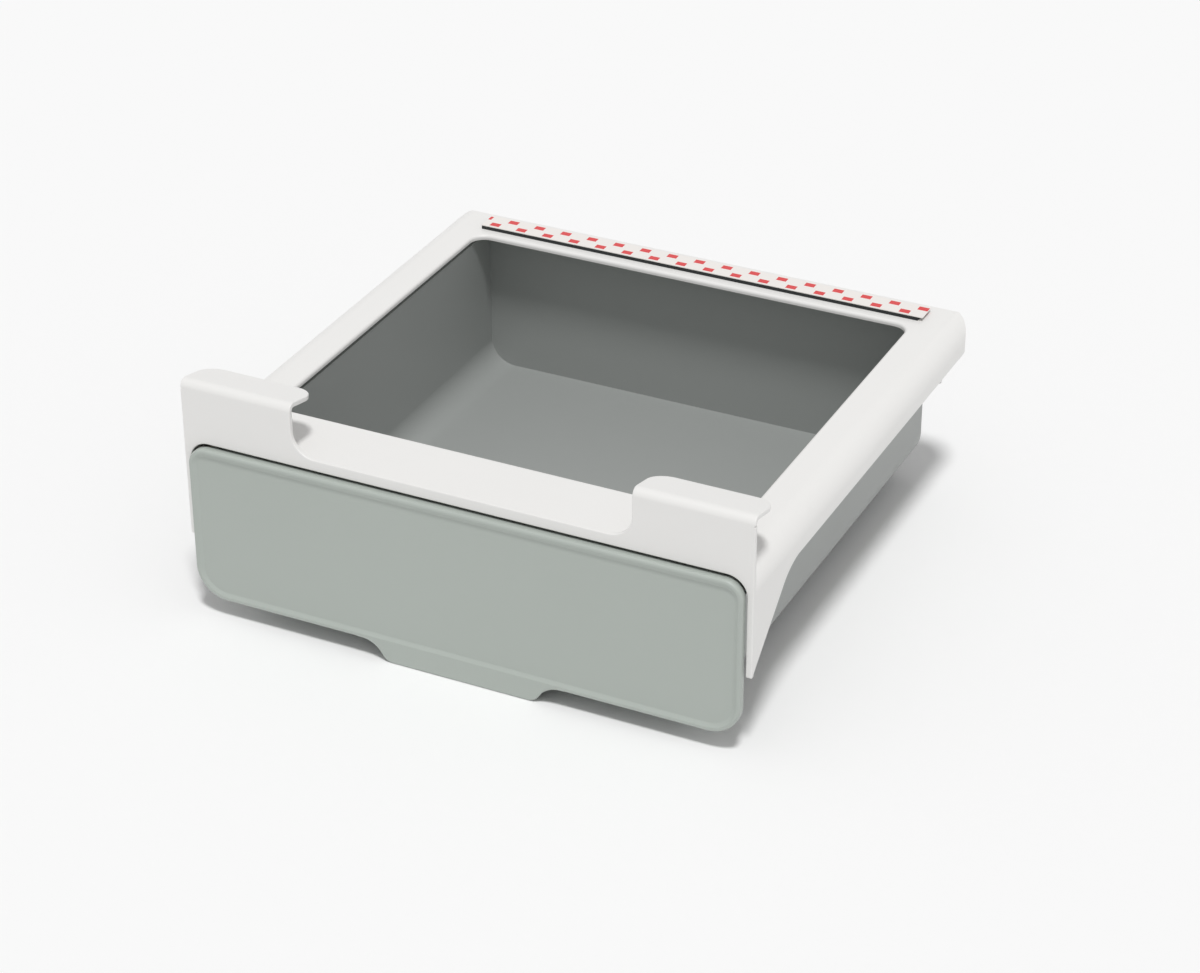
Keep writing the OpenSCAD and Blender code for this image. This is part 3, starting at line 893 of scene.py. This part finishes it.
tree = new_material("natural acetal", ["runner_left", "runner_right"])
place = add(tree, "ShaderNodeTexCoord", {})
flow = add(tree, "ShaderNodeTexNoise",
           {"Scale": per_mm(flow_width), "Detail": 4.0, "Roughness": 0.6},
           [("Vector", place.outputs["Object"])])
waxy = add(tree, "ShaderNodeMapRange", {"To Min": 0.28, "To Max": 0.42},
           [("Value", flow.outputs["Fac"])])
milk = add(tree, "ShaderNodeValToRGB", {}, [("Fac", flow.outputs["Fac"])])
milk.color_ramp.elements[0].color = linear("EDE9E1")
milk.color_ramp.elements[1].color = linear("F4F1EA")
acetal = add(tree, "ShaderNodeBsdfPrincipled",
             {"IOR": 1.48, "Subsurface Weight": 0.12, "Subsurface Scale": 1.0 * MM},
             [("Base Color", milk.outputs["Color"]), ("Roughness", waxy.outputs["Result"])])
add(tree, "ShaderNodeOutputMaterial", {}, [("Surface", acetal.outputs["BSDF"])])

# %% [markdown]
# Zinc-plated steel
#
# The screws are zinc-plated steel: a cool grey metal, brushed a little by the driver, with a gloss
# that changes from spot to spot. The spots are just under a millimetre wide.

# %% Zinc-plated steel
spot_width = 0.9

tree = new_material("zinc-plated steel", ["runner_screws", "panel_screws"])
place = add(tree, "ShaderNodeTexCoord", {})
spots = add(tree, "ShaderNodeTexNoise", {"Scale": per_mm(spot_width), "Detail": 3.0},
            [("Vector", place.outputs["Object"])])
shine = add(tree, "ShaderNodeMapRange", {"To Min": 0.22, "To Max": 0.42},
            [("Value", spots.outputs["Fac"])])
zinc = add(tree, "ShaderNodeBsdfPrincipled", {"Base Color": linear("C6CACF"), "Metallic": 1.0},
           [("Roughness", shine.outputs["Result"])])
add(tree, "ShaderNodeOutputMaterial", {}, [("Surface", zinc.outputs["BSDF"])])

# %% [markdown]
# Closed-cell foam
#
# The tape's core is black closed-cell foam. Its cut edge shows cells about half a millimetre
# across, so it looks dull and slightly pitted.

# %% Closed-cell foam
cell_width, pit_depth = 0.5, 0.1

tree = new_material("closed-cell foam", ["foam_tape"])
place = add(tree, "ShaderNodeTexCoord", {})
cells = add(tree, "ShaderNodeTexVoronoi", {"Scale": per_mm(cell_width)},
            [("Vector", place.outputs["Object"])])
pits = add(tree, "ShaderNodeBump", {"Strength": 0.5, "Distance": pit_depth * MM},
           [("Height", cells.outputs["Distance"])])
dull = add(tree, "ShaderNodeValToRGB", {}, [("Fac", cells.outputs["Distance"])])
dull.color_ramp.elements[0].color = linear("1E2121")
dull.color_ramp.elements[1].color = linear("2C3030")
foam_shader = add(tree, "ShaderNodeBsdfPrincipled", {"Roughness": 0.8, "IOR": 1.45},
                  [("Base Color", dull.outputs["Color"]), ("Normal", pits.outputs["Normal"])])
add(tree, "ShaderNodeOutputMaterial", {}, [("Surface", foam_shader.outputs["BSDF"])])

# %% [markdown]
# Printed release liner
#
# The liner is coated paper, off-white with a slight gloss. Liners are printed so that they aren't
# left on by mistake. Here the print is two plain rows of short red bars, staggered like bricks, and
# the brick pattern draws it: the bars are the bricks and the paper is the mortar. The pattern is
# stretched lengthwise, so that the gaps between the bars are wider than those between the rows.

# %% Printed release liner
stretch, bar_pitch, row_gap, fibre_length = 4.0, 12.4, 1.0, 1.2
liner_middle, row_height = (liner_low.y + liner_high.y) / 2, (liner_high.y - liner_low.y) / 2
red = linear("D8383A")

tree = new_material("printed release liner", ["liner_strip"])
place = add(tree, "ShaderNodeTexCoord", {})
centred = add(tree, "ShaderNodeMapping",
              {"Location": (0.0, -liner_middle * MM, 0.0), "Scale": (1.0 / stretch, 1.0, 1.0)},
              [("Vector", place.outputs["Object"])])
bars = add(tree, "ShaderNodeTexBrick",
           {"Scale": 1.0, "Brick Width": bar_pitch / stretch * MM, "Row Height": row_height * MM,
            "Mortar Size": row_gap * MM, "Mortar Smooth": 0.0, "Bias": 0.0,
            "Color1": red, "Color2": red, "Mortar": linear("EDE9E5")},
           [("Vector", centred.outputs["Vector"])])
fibres = add(tree, "ShaderNodeTexNoise", {"Scale": per_mm(fibre_length), "Detail": 3.0},
             [("Vector", place.outputs["Object"])])
coat = add(tree, "ShaderNodeMapRange", {"To Min": 0.30, "To Max": 0.45},
           [("Value", fibres.outputs["Fac"])])
liner_shader = add(tree, "ShaderNodeBsdfPrincipled", {"IOR": 1.45},
                   [("Base Color", bars.outputs["Color"]), ("Roughness", coat.outputs["Result"])])
add(tree, "ShaderNodeOutputMaterial", {}, [("Surface", liner_shader.outputs["BSDF"])])

# %% [markdown]
# The sweep
#
# The floor is matt white paper. Its colour alone makes it nearly white in the render, and it keeps
# the drawer's shadow.

# %% Matt white paper
paper_white = 0.95

tree = new_material("matt white paper", ["floor"])
paper = add(tree, "ShaderNodeBsdfPrincipled",
            {"Base Color": (paper_white, paper_white, paper_white, 1.0), "Roughness": 0.9,
             "Specular IOR Level": 0.0})
add(tree, "ShaderNodeOutputMaterial", {}, [("Surface", paper.outputs["BSDF"])])
